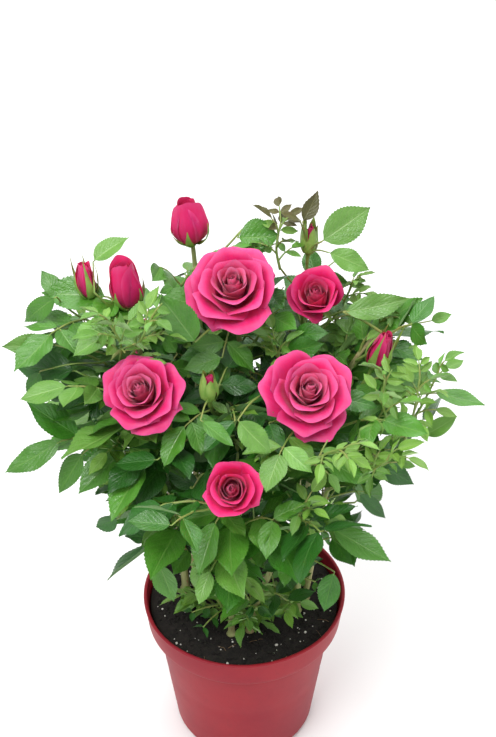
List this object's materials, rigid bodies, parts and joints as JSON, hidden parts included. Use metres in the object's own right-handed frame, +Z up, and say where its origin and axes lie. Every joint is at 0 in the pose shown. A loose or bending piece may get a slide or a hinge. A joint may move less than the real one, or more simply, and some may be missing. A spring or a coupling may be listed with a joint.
{
  "type": "rose bush in a pot",
  "caption": "Miniature rose bush with pink blooms, buds and toothed compound leaves on upright canes, rooted in a filled, tapered plastic nursery pot.",
  "frame": {"origin": "middle of the pot's flat underside", "axes": "+Z up through the plant, -Y towards the side that carries the lowest front rose, +X to the right of it"},
  "size_m": [0.2394, 0.2223, 0.3542],
  "materials": {
    "pot_plastic": "satin, slightly translucent",
    "potting_soil": "matte, crumbly",
    "cane": "matte green bark",
    "foliage": "satin leaf",
    "petals": "velvety"
  },
  "bodies": {
    "root": {"bud_left_buds": "petals", "bud_upper_far_right": "petals", "cane_back_left": "cane", "cane_back_low": "cane", "cane_back_right": "cane", "cane_back_rose": "cane", "cane_front_left": "cane", "cane_front_right": "cane", "cane_front_rose": "cane", "cane_left": "cane", "cane_left_buds": "cane", "cane_left_rose": "cane", "cane_middle": "cane", "cane_right": "cane", "cane_right_rose": "cane", "cane_tall_bud": "cane", "cane_upper_far_right": "cane", "cane_upper_right": "cane", "foliage_back_left": "foliage", "foliage_back_low": "foliage", "foliage_back_right": "foliage", "foliage_back_rose": "foliage", "foliage_front_left": "foliage", "foliage_front_right": "foliage", "foliage_front_rose": "foliage", "foliage_left": "foliage", "foliage_left_buds": "foliage", "foliage_left_rose": "foliage", "foliage_low_back_left": "foliage", "foliage_low_back_right": "foliage", "foliage_low_front": "foliage", "foliage_low_left": "foliage", "foliage_low_right": "foliage", "foliage_middle": "foliage", "foliage_right": "foliage", "foliage_right_rose": "foliage", "foliage_tall_bud": "foliage", "foliage_upper_far_right": "foliage", "foliage_upper_right": "foliage", "half_open_rose_back_left": "petals", "half_open_rose_front_rose": "petals", "half_open_rose_upper_right": "petals", "opening_bud_back_right": "petals", "opening_bud_left_buds": "petals", "opening_bud_tall_bud": "petals", "pot": "pot_plastic", "rose_back_rose": "petals", "rose_left_rose": "petals", "rose_middle": "petals", "rose_right_rose": "petals", "soil": "potting_soil"}
  },
  "joints": []
}
